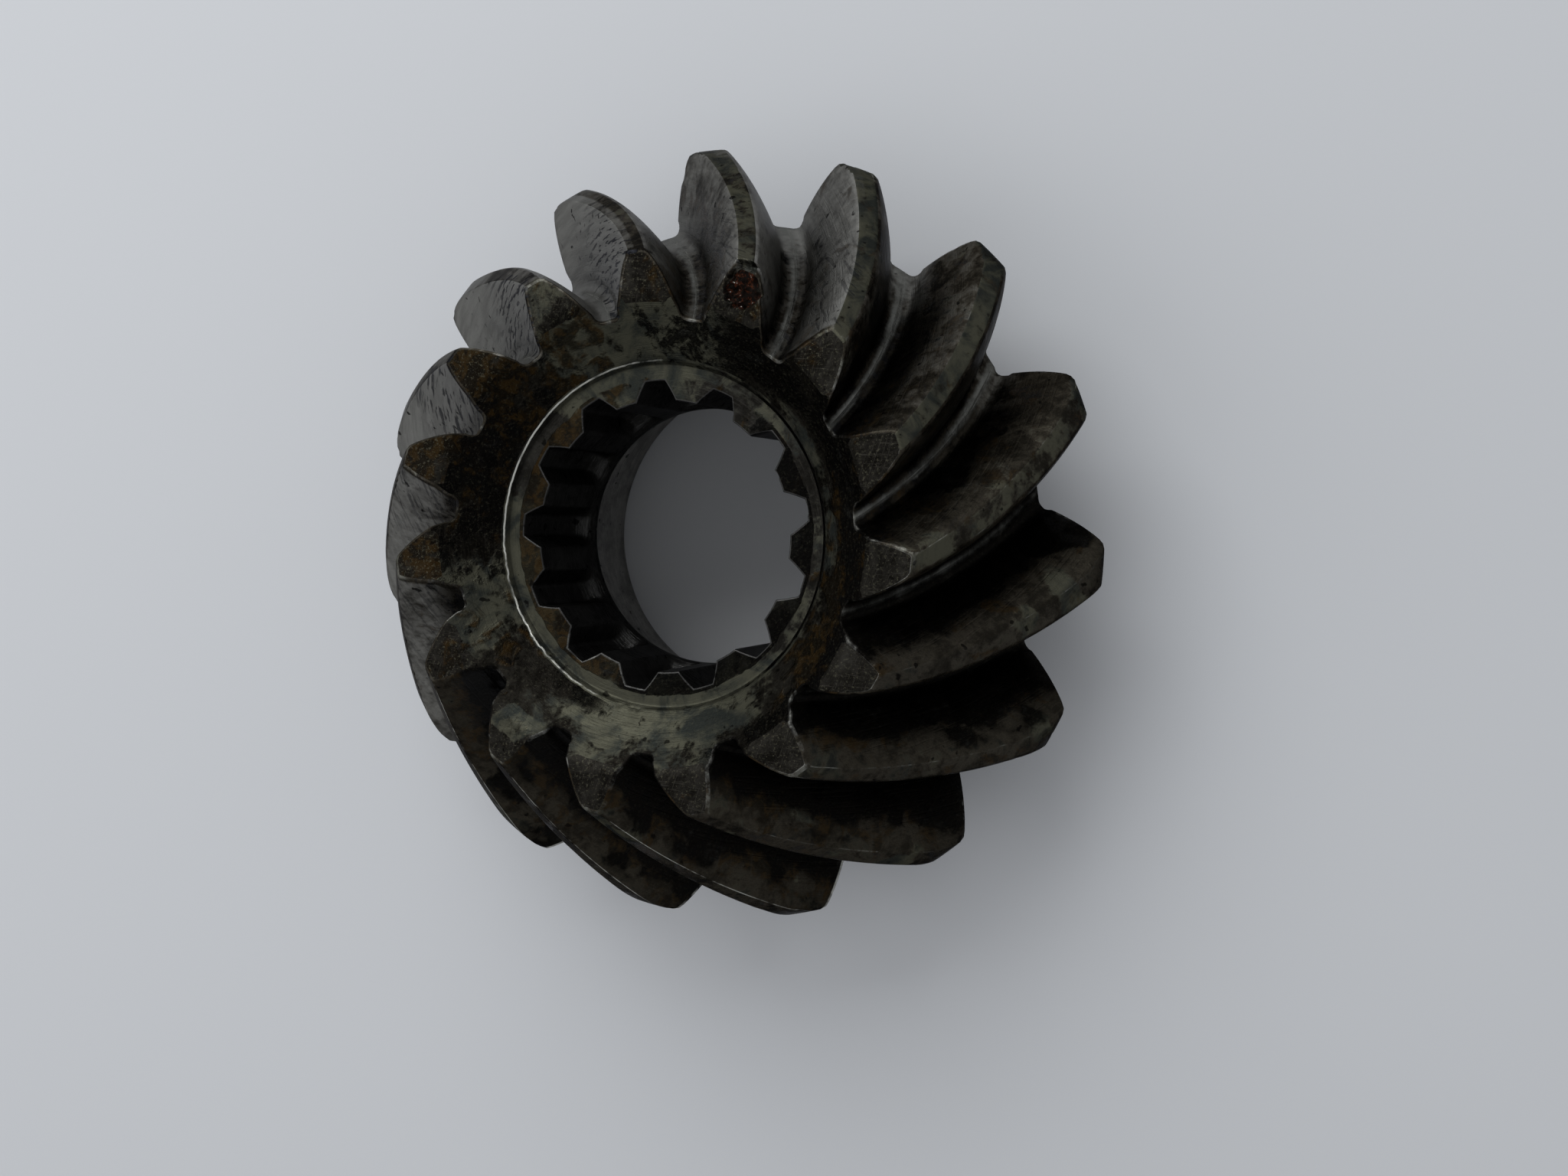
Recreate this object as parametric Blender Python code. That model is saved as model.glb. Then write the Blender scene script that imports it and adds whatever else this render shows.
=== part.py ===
"""Spiral bevel pinion: one forged and cut steel piece with a splined bore.

Metres, nose up on +Z, back face on Z = 0, bore axis on Z. Two surfaces of revolution (the blank's
front and back) are joined by the toothed surface on the outside and by the splined bore inside.
"""

from math import atan2, cos, pi, radians, sin, sqrt

import bmesh
import bpy

MM = 0.001

# Teeth. The heel is the large end, nearest the back face; the toe is the small end.
TEETH = 15
HEEL_CREST_RADIUS = 33.06 * MM  # before the crest is rounded off
HEEL_CREST_HEIGHT = 11.17 * MM
WHOLE_DEPTH = 7.3 * MM
BACK_CONE_SLOPE = radians(30.0)
APEX_HEIGHT = 56.8 * MM
SPIRAL_TURN = radians(73.0)  # turn about the axis for the whole cone distance, heel to apex
LENGTHWISE_STATIONS = (0.0, 0.05, 0.13, 0.3, 0.48, 0.65, 0.83, 1.0)

# The crest rounds off towards the heel: shares of the cone distance, and of the depth lost
CREST_ROUND_START = 0.937
CREST_ROUND_END = 1.002
CREST_ROUND_SHARE = 0.14

# Tooth section, as half angles about the axis against the share of the depth above the root
CREST_HALF_ANGLE = radians(1.9)
FLANK_HALF_ANGLE = radians(9.6)
FLANK_CURVE = 0.806
FILLET_TOP = 0.17
FLANK_SHARES = (0.28, 0.6, 0.8, 1.0)
FILLET_STEPS = 3

# Blank, front: flat toe faces, a dish, and a spot-faced nose ring for the nut
TOE_FACE_HEIGHT = 27.1 * MM
TOE_FACE_INNER_RADIUS = 18.2 * MM
NOSE_RADIUS = 13.6 * MM
NOSE_RIM_HEIGHT = 23.5 * MM
NOSE_HEIGHT = 23.0 * MM
NOSE_WALL_TAPER = 0.1 * MM
NOSE_BORE_MARGIN_RADIUS = 12.4 * MM

# Blank, back: a hub with a flat face
HUB_RADIUS = 22.5 * MM
HUB_TOP_HEIGHT = 5.0 * MM
HUB_CHAMFER = 0.6 * MM

# Splined bore, blind from the nose side, then a relief up from the back face
SPLINES = 13
SPLINE_MAJOR_RADIUS = 12.1 * MM
SPLINE_MINOR_RADIUS = 10.6 * MM
SPLINE_TIP_HALF_ANGLE = radians(4.9)
SPLINE_BASE_HALF_ANGLE = radians(10.0)
SPLINE_PHASE = radians(3.4)
SPLINE_END_HEIGHT = 15.7 * MM
RUN_OUT_HEIGHT = 13.7 * MM
LAND_END_HEIGHT = 12.8 * MM
RELIEF_TOP_HEIGHT = 11.2 * MM
RELIEF_RADIUS = 13.9 * MM
RELIEF_CHAMFER = 0.5 * MM

SHARP_EDGE_ANGLE = radians(28.0)


def clear_scene():
    """Starts from an empty scene."""
    for obj in list(bpy.data.objects):
        bpy.data.objects.remove(obj, do_unlink=True)


def heel_point(share):
    """Radius and height on the back cone, at this share of the depth above the root."""
    down = WHOLE_DEPTH * (1.0 - share)
    radius = HEEL_CREST_RADIUS - down * cos(BACK_CONE_SLOPE)
    height = HEEL_CREST_HEIGHT - down * sin(BACK_CONE_SLOPE)
    return radius, height


def corner_share():
    """Share of the depth at which the toe face, the dish and the flank meet."""
    rise = APEX_HEIGHT - TOE_FACE_HEIGHT
    reach = APEX_HEIGHT - HEEL_CREST_HEIGHT
    short = rise * HEEL_CREST_RADIUS - TOE_FACE_INNER_RADIUS * reach
    rate = rise * cos(BACK_CONE_SLOPE) + TOE_FACE_INNER_RADIUS * sin(BACK_CONE_SLOPE)
    return 1.0 - short / (rate * WHOLE_DEPTH)


def flank_half_angle(share):
    """Half angle of the tooth on its flank."""
    spread = FLANK_HALF_ANGLE - CREST_HALF_ANGLE
    return CREST_HALF_ANGLE + spread * (1.0 - share) ** FLANK_CURVE


def half_tooth():
    """(share of depth, half angle) from the middle of the gap up to the crest's edge."""
    gap = pi / TEETH
    foot = flank_half_angle(FILLET_TOP)
    points = []
    for step in range(FILLET_STEPS + 1):
        swing = 0.5 * pi * step / FILLET_STEPS
        share = FILLET_TOP * (1.0 - cos(swing))
        points.append((share, gap - (gap - foot) * sin(swing)))
    for share in sorted(FLANK_SHARES + (corner_share(),)):
        points.append((share, flank_half_angle(share)))
    return points


def tooth_ring():
    """(share of depth, angle) round all the teeth, in order of angle."""
    half = half_tooth()
    rising = [(share, -angle) for share, angle in half]
    falling = [(share, angle) for share, angle in reversed(half[1:])]
    ring = []
    for tooth in range(TEETH):
        middle = 2.0 * pi * tooth / TEETH
        ring += [(share, middle + angle) for share, angle in rising + falling]
    return ring


def crest_limit(scale):
    """Highest share of the depth that the rounding leaves at this share of the cone distance."""
    run = (scale - CREST_ROUND_START) / (CREST_ROUND_END - CREST_ROUND_START)
    return 1.0 - CREST_ROUND_SHARE * (1.0 - sqrt(1.0 - max(run, 0.0) ** 2))


def front_scale(radius, height):
    """Share of the cone distance at which the line from this heel point reaches the front."""
    slope = (TOE_FACE_HEIGHT - NOSE_RIM_HEIGHT) / (TOE_FACE_INNER_RADIUS - NOSE_RADIUS)
    drop = APEX_HEIGHT - height
    on_face = (APEX_HEIGHT - TOE_FACE_HEIGHT) / drop
    on_dish = (APEX_HEIGHT - NOSE_RIM_HEIGHT + NOSE_RADIUS * slope) / (drop + radius * slope)
    return max(on_face, on_dish)


def tooth_point(share, angle, along):
    """Point on the toothed surface; along runs from 0 at the heel to 1 at the toe."""
    radius, height = heel_point(share)
    scale = 1.0 + (front_scale(radius, height) - 1.0) * along
    radius, height = heel_point(min(share, crest_limit(scale)))
    turned = angle - SPIRAL_TURN * (1.0 - scale)
    return (
        scale * radius * cos(turned),
        scale * radius * sin(turned),
        APEX_HEIGHT - scale * (APEX_HEIGHT - height),
    )


def spline_ring(major, minor):
    """(radius, angle) round the splined bore, in order of angle."""
    pitch = 2.0 * pi / SPLINES
    section = (
        (minor, -SPLINE_TIP_HALF_ANGLE),
        (minor, 0.0),
        (minor, SPLINE_TIP_HALF_ANGLE),
        (major, SPLINE_BASE_HALF_ANGLE),
        (major, 0.5 * pitch),
        (major, pitch - SPLINE_BASE_HALF_ANGLE),
    )
    ring = []
    for tooth in range(SPLINES):
        middle = SPLINE_PHASE + pitch * tooth
        ring += [(radius, middle + angle) for radius, angle in section]
    return ring


def add_ring(bm, points):
    """Adds one closed ring of vertices."""
    return [bm.verts.new(point) for point in points]


def add_bore_ring(bm, major, minor, height):
    """Adds a ring with the spline's angles; equal radii make it round."""
    ring = spline_ring(major, minor)
    return add_ring(bm, [(r * cos(a), r * sin(a), height) for r, a in ring])


def add_round_ring(bm, radius, height):
    return add_bore_ring(bm, radius, radius, height)


def add_toe_edge(bm, toe):
    """The toe faces' inner edge: new vertices inside each toe face, the toe's own elsewhere."""
    edge = []
    for vert in toe:
        radius = vert.co.xy.length
        if radius > TOE_FACE_INNER_RADIUS * 1.0001:
            inward = vert.co.xy * (TOE_FACE_INNER_RADIUS / radius)
            edge.append(bm.verts.new((inward.x, inward.y, TOE_FACE_HEIGHT)))
        else:
            edge.append(vert)
    return edge


def join_matched(bm, first, second):
    """Joins two rings of one count, vertex to vertex."""
    count = len(first)
    for i in range(count):
        j = (i + 1) % count
        corners = []
        for vert in (first[i], first[j], second[j], second[i]):
            if vert not in corners:
                corners.append(vert)
        if len(corners) > 2:
            bm.faces.new(corners)


def from_first_angle(ring):
    """The ring's vertices and angles, starting from the smallest angle above zero."""
    pairs = [(atan2(vert.co.y, vert.co.x) % (2.0 * pi), vert) for vert in ring]
    start = min(range(len(pairs)), key=lambda i: pairs[i][0])
    return pairs[start:] + pairs[:start]


def join_by_angle(bm, first, second):
    """Joins two rings of different counts with triangles, walking both by angle."""
    a = from_first_angle(first)
    b = from_first_angle(second)
    i = 0
    j = 0
    while i < len(a) or j < len(b):
        next_a = a[(i + 1) % len(a)][0] + 2.0 * pi * ((i + 1) // len(a))
        next_b = b[(j + 1) % len(b)][0] + 2.0 * pi * ((j + 1) // len(b))
        here_a = a[i % len(a)][1]
        here_b = b[j % len(b)][1]
        if j >= len(b) or (i < len(a) and next_a <= next_b):
            bm.faces.new((here_a, a[(i + 1) % len(a)][1], here_b))
            i += 1
        else:
            bm.faces.new((here_a, b[(j + 1) % len(b)][1], here_b))
            j += 1


def join_chain(bm, rings):
    """Joins each ring to the next."""
    for first, second in zip(rings, rings[1:]):
        join_matched(bm, first, second)


def add_teeth(bm):
    """The toothed surface; returns its heel ring and its toe ring."""
    ring = tooth_ring()
    rings = []
    for along in LENGTHWISE_STATIONS:
        rings.append(add_ring(bm, [tooth_point(share, angle, along) for share, angle in ring]))
    join_chain(bm, rings)
    return rings[0], rings[-1]


def add_front(bm, toe):
    """Toe faces, dish and nose ring; returns the ring round the splines' mouth."""
    edge = add_toe_edge(bm, toe)
    join_matched(bm, toe, edge)
    rim = add_round_ring(bm, NOSE_RADIUS, NOSE_RIM_HEIGHT)
    join_by_angle(bm, edge, rim)
    seat = add_round_ring(bm, NOSE_RADIUS - NOSE_WALL_TAPER, NOSE_HEIGHT)
    margin = add_round_ring(bm, NOSE_BORE_MARGIN_RADIUS, NOSE_HEIGHT)
    join_chain(bm, [rim, seat, margin])
    return margin


def add_bore(bm, margin):
    """Splines, their run-out, the plain land and the relief; returns the back face's inner edge."""
    rings = [
        margin,
        add_bore_ring(bm, SPLINE_MAJOR_RADIUS, SPLINE_MINOR_RADIUS, NOSE_HEIGHT),
        add_bore_ring(bm, SPLINE_MAJOR_RADIUS, SPLINE_MINOR_RADIUS, SPLINE_END_HEIGHT),
        add_round_ring(bm, SPLINE_MINOR_RADIUS, RUN_OUT_HEIGHT),
        add_round_ring(bm, SPLINE_MINOR_RADIUS, LAND_END_HEIGHT),
        add_round_ring(bm, RELIEF_RADIUS, RELIEF_TOP_HEIGHT),
        add_round_ring(bm, RELIEF_RADIUS, RELIEF_CHAMFER),
        add_round_ring(bm, RELIEF_RADIUS + RELIEF_CHAMFER, 0.0),
    ]
    join_chain(bm, rings)
    return rings[-1]


def add_back(bm, inner, heel):
    """Back face, hub and back cone."""
    rings = [
        inner,
        add_round_ring(bm, HUB_RADIUS - HUB_CHAMFER, 0.0),
        add_round_ring(bm, HUB_RADIUS, HUB_CHAMFER),
        add_round_ring(bm, HUB_RADIUS, HUB_TOP_HEIGHT),
    ]
    join_chain(bm, rings)
    join_by_angle(bm, rings[-1], heel)


def shade(bm):
    """Smooth shading, broken along every real edge."""
    for face in bm.faces:
        face.smooth = True
    for edge in bm.edges:
        edge.smooth = edge.calc_face_angle(0.0) < SHARP_EDGE_ANGLE


def pinion_mesh():
    """The whole closed surface."""
    bm = bmesh.new()
    heel, toe = add_teeth(bm)
    margin = add_front(bm, toe)
    inner = add_bore(bm, margin)
    add_back(bm, inner, heel)
    bmesh.ops.recalc_face_normals(bm, faces=bm.faces[:])
    if bm.calc_volume(signed=True) < 0.0:
        bmesh.ops.reverse_faces(bm, faces=bm.faces[:])
    shade(bm)
    mesh = bpy.data.meshes.new("bevel_pinion")
    bm.to_mesh(mesh)
    bm.free()
    return mesh


def gear_steel():
    """Dark, oily, hardened gear steel."""
    material = bpy.data.materials.new("gear_steel")
    material.use_nodes = True
    shader = material.node_tree.nodes["Principled BSDF"]
    shader.inputs["Base Color"].default_value = (0.19, 0.18, 0.16, 1.0)
    shader.inputs["Metallic"].default_value = 0.9
    shader.inputs["Roughness"].default_value = 0.42
    return material


def main():
    clear_scene()
    mesh = pinion_mesh()
    mesh.materials.append(gear_steel())
    pinion = bpy.data.objects.new("bevel_pinion", mesh)
    bpy.context.scene.collection.objects.link(pinion)


main()
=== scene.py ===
"""Looks of the spiral bevel pinion: a fine mesh of the forging, its worn and oily steel with painted sheen and
highlights, floor, lights and camera.

The mesh repeats part.py's formulas at a finer step, with broken edges, a root land, nicks, a rust pit and a
ragged rim on the nut seat. Lengths are in millimetres until the mesh is made. Angles are in radians, and
azimuths and elevations are in degrees.
"""

from math import cos, pi, radians, sin

import bmesh
import bpy
import numpy as np
from mathutils import Matrix, Vector


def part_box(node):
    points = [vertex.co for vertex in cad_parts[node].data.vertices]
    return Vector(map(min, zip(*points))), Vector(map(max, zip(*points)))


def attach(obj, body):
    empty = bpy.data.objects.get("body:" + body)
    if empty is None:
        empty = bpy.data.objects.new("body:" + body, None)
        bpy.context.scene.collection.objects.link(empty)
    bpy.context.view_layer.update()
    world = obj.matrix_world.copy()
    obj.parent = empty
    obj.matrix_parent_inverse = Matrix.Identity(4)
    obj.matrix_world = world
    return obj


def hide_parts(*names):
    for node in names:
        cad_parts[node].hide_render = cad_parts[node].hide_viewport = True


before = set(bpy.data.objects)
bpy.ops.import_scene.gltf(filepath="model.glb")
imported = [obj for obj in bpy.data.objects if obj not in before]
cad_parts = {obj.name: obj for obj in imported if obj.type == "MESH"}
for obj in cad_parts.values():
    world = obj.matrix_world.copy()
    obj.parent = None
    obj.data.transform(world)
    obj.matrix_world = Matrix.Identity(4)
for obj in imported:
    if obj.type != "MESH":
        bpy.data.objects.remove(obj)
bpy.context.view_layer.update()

NODE = "bevel_pinion"
MM = 0.001
TURN = 2.0 * pi

# ---- the forging, as in part.py ----
TEETH = 15
HEEL_CREST_RADIUS = 33.06
HEEL_CREST_HEIGHT = 11.17
WHOLE_DEPTH = 7.3
BACK_CONE_SLOPE = radians(30.0)
APEX_HEIGHT = 56.8
SPIRAL_TURN = radians(73.0)
CREST_ROUND_START = 0.937
CREST_ROUND_END = 1.002
CREST_ROUND_SHARE = 0.14
CREST_HALF_ANGLE = radians(1.9)
FLANK_HALF_ANGLE = radians(9.6)
FLANK_CURVE = 0.806
FILLET_TOP = 0.17
TOE_FACE_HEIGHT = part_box(NODE)[1].z / MM
TOE_FACE_INNER_RADIUS = 18.2
NOSE_RADIUS = 13.6
NOSE_RIM_HEIGHT = 23.5
NOSE_HEIGHT = 23.0
HUB_RADIUS = 22.5
HUB_CHAMFER = 0.6
SPLINES = 13
SPLINE_MAJOR_RADIUS = 12.1
SPLINE_MINOR_RADIUS = 10.6
SPLINE_TIP_HALF_ANGLE = radians(4.9)
SPLINE_BASE_HALF_ANGLE = radians(10.0)
SPLINE_PHASE = radians(3.4)
SPLINE_END_HEIGHT = 15.7
RUN_OUT_HEIGHT = 13.7
LAND_END_HEIGHT = 12.8
RELIEF_TOP_HEIGHT = 11.2
RELIEF_RADIUS = 13.9
RELIEF_CHAMFER = 0.5

# ---- finer than part.py ----
ROOT_LAND_HALF_ANGLE = radians(1.5)
FLANK_EDGE_BREAK = 0.14
CLOCKWISE_EDGE_BREAK = 0.24
TOE_EDGE_BREAK = 0.16
HEEL_EDGE_BREAK = 0.22
DISH_EDGE_BREAK = 0.5
SPLINE_EDGE_BREAK = 0.13
NOSE_WALL_TAPER = 0.28
ROUNDING_BLEND = 0.05
HUB_FILLET = 0.9
PLAN_SHRINK = 0.9965  # part.py's facets cut inside the true curves, and this mesh stays inside part.py's box

ROOT_LAND_STEPS = 2
FILLET_STEPS = 5
FLANK_STEPS = 13
CREST_STEPS = 3
LENGTHWISE_STEPS = 42
TOE_FACE_ROWS = 9
DISH_ROWS = 13
BACK_CONE_ROWS = 10
BEVEL_STEPS = 3
SPLINE_STEPS = 6
SPLINE_MARGIN_ROWS = 6
SPLINE_ROWS = 9
RUN_OUT_ROWS = 6
RELIEF_ROWS = 7
BACK_FACE_ROWS = 8
HUB_ROWS = 5

EDGE_REACH = 1.8  # an edge break starts this many of its own widths from the edge
EDGE_MIDDLE = (0.3, 0.25)  # its middle point, in the same widths down the flank and across the crest
EDGE_WEIGHTS = (0.6, 1.0, 0.6)
CREST_MARGIN = 0.8  # the crest zone starts this many edge breaks below the crest
DISH_EDGE_SHARE = 0.6  # the most of a toe face's length that its inner edge break takes
TOE_FACE_SPACING = 0.9
RIM_BREAK = 0.18
SEAT_BREAK = 0.15
WALL_TOP = 0.75
WALL_FOOT = 0.2
RIM_RAGGED = 0.1
RIM_BURR = 0.28
BURR_AZIMUTH = 205.0
BURR_SPREAD = 70.0
SPLINE_MARGIN_RADIUS = 12.6
NOSE_FLAT_RADII = (13.0, 12.8)
RUN_OUT_POWER = 1.6
CORNER_STEP = 0.1
CHAMFER_STEP = 0.06
HUB_STEP = 0.05

NICK_RANGE = (0.64, 0.76)
NICK_DEPTH = 0.09
UNEVEN_DEPTH = 0.05
# Spots on the front: radius, azimuth, half length and half width
PIT = (20.3, 45.5, 2.0, 1.6)
FLECK = (16.7, 181.0, 1.5, 1.3)
CHIP = (18.3, 213.0, 1.2, 1.6)
SPOT_SLANT = 0.35
PIT_DEPTH = 0.8
PIT_REACH = 2.9
PIT_CUTS = 3
TOOTH_RUN = 66.0  # length along a tooth for the whole cone distance
TOOTH_LENGTH = 23.0
TOOTH_OFFSET = 37.0  # sets the teeth apart in flow coordinates

# Noise patterns: cells per millimetre, and the seed
LARGE_STAINS = (0.16, 11)
MEDIUM_STAINS = (0.45, 23)
RAGGED_EDGE = (1.1, 29)
PATCHY_FLOOR = (0.24, 41)
OIL_SPOTS = (0.3, 61)
PALE_SPOTS = (0.34, 67)
RIM_WOBBLE = (2.2, 71)
NICKS = (0.9, 131)
UNEVEN_FRONT = (0.8, 151)
PIT_OUTLINE = (0.9, 171)
PIT_FRAY = (3.0, 173)
PIT_FLOOR = (2.0, 177)

# Zones of the surface; each has its own material
FLANK, CREST, TOE_FACE, DISH, NOSE, BORE, BACK = range(7)


# ---- noise ----
HASH_AXES = (374761393, 668265263, 2147483647)
HASH_SEED = 1274126177
HASH_MIX = 2246822519
WORD = 0xFFFFFFFF
OCTAVES = 3
OCTAVE_GAIN = 0.55
OCTAVE_STEP = 2.03
OCTAVE_SHIFT = 17.3


def lattice(cell, seed):
    """A repeatable number from 0 to 1 for each cell."""
    mixed = ((cell.astype(np.int64) * HASH_AXES).sum(axis=-1) + seed * HASH_SEED) & WORD
    mixed = ((mixed ^ (mixed >> 13)) * HASH_SEED) & WORD
    mixed = ((mixed ^ (mixed >> 16)) * HASH_MIX) & WORD
    return (mixed ^ (mixed >> 15)) / float(WORD)


def value_noise(points, seed):
    """Smooth noise from 0 to 1 at points, one cell per unit."""
    cell = np.floor(points)
    part = points - cell
    ease = part * part * (3.0 - 2.0 * part)
    total = np.zeros(points.shape[:-1])
    for corner in np.ndindex(2, 2, 2):
        weight = np.prod(np.where(corner, ease, 1.0 - ease), axis=-1)
        total += weight * lattice(cell + corner, seed)
    return total


def cloud(points, scale, seed):
    """Fractal noise from 0 to 1; scale is in cells per millimetre."""
    total = 0.0
    weight = 0.0
    for octave in range(OCTAVES):
        gain = OCTAVE_GAIN ** octave
        cells = points * scale * OCTAVE_STEP ** octave + OCTAVE_SHIFT * octave
        total = total + gain * value_noise(cells, seed + octave)
        weight += gain
    return total / weight


def smooth(value, low, high):
    """0 below low, 1 above high, eased between; low may be above high."""
    run = np.clip((value - low) / (high - low), 0.0, 1.0)
    return run * run * (3.0 - 2.0 * run)


def near_azimuth(azimuth, centre, width):
    """1 at this azimuth in degrees, falling to 0 one width away."""
    apart = np.abs((azimuth - centre + 180.0) % 360.0 - 180.0)
    return smooth(apart, width, 0.25 * width)


# ---- tooth form ----
def heel_point(share):
    """Radius and height on the back cone, at this share of the depth above the root."""
    down = WHOLE_DEPTH * (1.0 - share)
    return HEEL_CREST_RADIUS - down * cos(BACK_CONE_SLOPE), HEEL_CREST_HEIGHT - down * sin(BACK_CONE_SLOPE)


def corner_share():
    """Share of the depth at which the toe face, the dish and the flank meet."""
    rise = APEX_HEIGHT - TOE_FACE_HEIGHT
    reach = APEX_HEIGHT - HEEL_CREST_HEIGHT
    short = rise * HEEL_CREST_RADIUS - TOE_FACE_INNER_RADIUS * reach
    rate = rise * cos(BACK_CONE_SLOPE) + TOE_FACE_INNER_RADIUS * sin(BACK_CONE_SLOPE)
    return 1.0 - short / (rate * WHOLE_DEPTH)


def flank_half_angle(share):
    """Half of a tooth's angle at this share of the depth."""
    spread = FLANK_HALF_ANGLE - CREST_HALF_ANGLE
    return CREST_HALF_ANGLE + spread * np.maximum(1.0 - share, 0.0) ** FLANK_CURVE


def crest_limit(scale):
    """Highest share of the depth that the rounded crest allows at this cone scale."""
    run = np.clip((scale - CREST_ROUND_START) / (CREST_ROUND_END - CREST_ROUND_START), 0.0, 1.0)
    return 1.0 - CREST_ROUND_SHARE * (1.0 - np.sqrt(1.0 - run ** 2))


DISH_SLOPE = (TOE_FACE_HEIGHT - NOSE_RIM_HEIGHT) / (TOE_FACE_INNER_RADIUS - NOSE_RADIUS)


def front_height(radius):
    """Height of the front at this radius: toe faces outside, dish inside."""
    on_dish = NOSE_RIM_HEIGHT + (radius - NOSE_RADIUS) * DISH_SLOPE
    return np.minimum(on_dish, TOE_FACE_HEIGHT)


def back_cone_height(radius):
    return HEEL_CREST_HEIGHT - (HEEL_CREST_RADIUS - radius) * np.tan(BACK_CONE_SLOPE)


def front_scale(radius, height):
    """Cone scale at which the line from this heel point to the apex meets the front."""
    drop = APEX_HEIGHT - height
    on_face = (APEX_HEIGHT - TOE_FACE_HEIGHT) / drop
    on_dish = (APEX_HEIGHT - NOSE_RIM_HEIGHT + NOSE_RADIUS * DISH_SLOPE) / (drop + radius * DISH_SLOPE)
    return np.maximum(on_face, on_dish)


def rounded_share(share, scale):
    """The share that the crest rounding leaves, with its own edge broken."""
    limit = crest_limit(scale)
    blend = np.minimum(ROUNDING_BLEND, 1.0 - limit) + 1e-9
    overlap = np.maximum(blend - np.abs(share - limit), 0.0) / blend
    return np.minimum(share, limit) - 0.25 * blend * overlap ** 2


def cone_scale(share, along):
    """Share of the cone distance at this place along the tooth."""
    radius, height = heel_point(share)
    return 1.0 + (front_scale(radius, height) - 1.0) * along


def tooth_points(share, angle, along):
    """Points of the toothed surface; along runs from 0 at the heel to 1 at the toe."""
    scale = cone_scale(share, along)
    radius, height = heel_point(rounded_share(share, scale))
    turned = angle - SPIRAL_TURN * (1.0 - scale)
    return at_radius(scale * radius, turned, APEX_HEIGHT - scale * (APEX_HEIGHT - height))


def flank_side(edge_break):
    """(share, half angle) of one side of a tooth, from mid gap to mid crest."""
    gap = pi / TEETH
    foot = flank_half_angle(FILLET_TOP)
    land = gap - ROOT_LAND_HALF_ANGLE
    points = [(0.0, gap - ROOT_LAND_HALF_ANGLE * i / ROOT_LAND_STEPS) for i in range(ROOT_LAND_STEPS)]
    for i in range(FILLET_STEPS):
        swing = 0.5 * pi * i / FILLET_STEPS
        points.append((FILLET_TOP * (1.0 - cos(swing)), land - (land - foot) * sin(swing)))
    lost = edge_break / WHOLE_DEPTH
    narrow = edge_break / HEEL_CREST_RADIUS
    shares = np.linspace(FILLET_TOP, 1.0 - EDGE_REACH * lost, FLANK_STEPS)
    shares[np.argmin(np.abs(shares - corner_share()))] = corner_share()
    points += [(share, flank_half_angle(share)) for share in shares]
    points += [
        (1.0 - lost, flank_half_angle(1.0 - lost)),
        (1.0 - EDGE_MIDDLE[0] * lost, CREST_HALF_ANGLE - EDGE_MIDDLE[1] * narrow),
        (1.0, CREST_HALF_ANGLE - narrow),
    ]
    crest = CREST_HALF_ANGLE - EDGE_REACH * narrow
    return points + [(1.0, crest * (1.0 - i / CREST_STEPS)) for i in range(CREST_STEPS)]


def tooth_section():
    """Share, angle, edge and gap middle over one pitch, from mid gap."""
    rising = flank_side(CLOCKWISE_EDGE_BREAK)
    falling = flank_side(FLANK_EDGE_BREAK)
    share = [s for s, _ in rising] + [1.0] + [s for s, _ in falling[:0:-1]]
    angle = [-a for _, a in rising] + [0.0] + [a for _, a in falling[:0:-1]]
    edge = np.zeros(len(share))
    for corner in (len(rising) - CREST_STEPS - 2, len(rising) + CREST_STEPS + 2):
        edge[corner - 1:corner + 2] = EDGE_WEIGHTS
    middle = np.zeros(len(share))
    middle[0] = 1.0
    middle[[1, -1]] = 0.5
    return np.array(share), np.array(angle), edge, middle


# ---- surface builder ----
# What each face corner carries: three flow coordinates, the share of the depth, the place along the tooth,
# the tooth's number, and how much of an edge and of a gap's middle it is
FLOW = slice(0, 3)
SHARE, ALONG, TOOTH, EDGE, GAP_MIDDLE = range(3, 8)
NUMBERS = 8


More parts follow.
